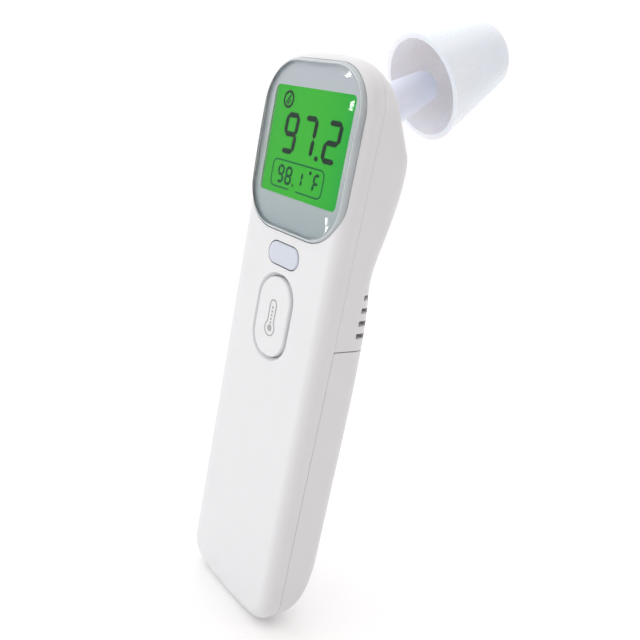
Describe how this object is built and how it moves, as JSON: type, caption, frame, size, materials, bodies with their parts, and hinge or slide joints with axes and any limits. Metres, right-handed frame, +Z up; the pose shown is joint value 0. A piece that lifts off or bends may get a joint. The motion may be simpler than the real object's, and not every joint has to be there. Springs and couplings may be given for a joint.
{
  "type": "digital thermometer",
  "caption": "Hand-held digital thermometer with a green display, press buttons, an angled ear probe on the back of the head and a lift-off forehead cap.",
  "frame": {"origin": "middle of the hand grip: on the centre line across the width, half way through the depth, 48 mm above the foot", "axes": "+Z up along the handle towards the display head, +Y from the display face towards the back and the probe, +X to the right as seen from the front"},
  "size_m": [0.04, 0.0633, 0.1681],
  "materials": {
    "case_white": "glossy",
    "cap_white": "glossy",
    "probe_grey": "satin",
    "window_clear": "polished",
    "bezel_silver": "satin",
    "lcd_green": "satin",
    "backlight_green": "satin",
    "rubber_pink": "matte",
    "key_grey": "satin",
    "key_white": "glossy",
    "board_green": "satin",
    "black_plastic": "matte",
    "component_tan": "satin",
    "speaker_metal": "satin",
    "sensor_glass": "polished",
    "guide_gold": "polished",
    "steel": "polished",
    "seal_black": "matte",
    "cell_wrap": "glossy"
  },
  "bodies": {
    "case": {"front_shell": "case_white", "rear_shell": "case_white", "display_window": "window_clear", "display_bezel": "bezel_silver", "lcd_panel": "lcd_green", "backlight": "backlight_green", "lcd_connector": "rubber_pink", "main_board": "board_green", "key_switches": "black_plastic", "processor": "black_plastic", "small_components": "component_tan", "speaker": "speaker_metal", "ear_probe": "probe_grey", "probe_window": "sensor_glass", "infrared_guide": "guide_gold", "thermopile": "steel", "sensor_holder": "black_plastic", "sensor_leads": "steel", "probe_gasket": "seal_black", "battery_left": "cell_wrap", "battery_right": "cell_wrap", "battery_springs": "steel", "battery_contacts": "steel", "case_screws": "steel"},
    "battery_cover": {"battery_cover": "case_white"},
    "cap": {"forehead_cap": "cap_white"},
    "small_key": {"small_button": "key_grey"},
    "large_key": {"large_button": "key_white"}
  },
  "joints": [
    {"name": "cap_slide", "type": "slide", "parent": "case", "child": "cap", "axis": [0, 0.8572, 0.515], "range_m": [-0.0232, 0.025]},
    {"name": "battery_cover_slide", "type": "slide", "parent": "case", "child": "battery_cover", "axis": [0, 0, -1], "range_m": [0, 0.05]},
    {"name": "small_button_press", "type": "slide", "parent": "case", "child": "small_key", "axis": [0, 1, 0], "range_m": [0, 0.0006], "stiffness_N_per_m": 1500, "springref_m": -0.0003},
    {"name": "large_button_press", "type": "slide", "parent": "case", "child": "large_key", "axis": [0, 1, 0], "range_m": [0, 0.0006], "stiffness_N_per_m": 1500, "springref_m": -0.0003}
  ]
}
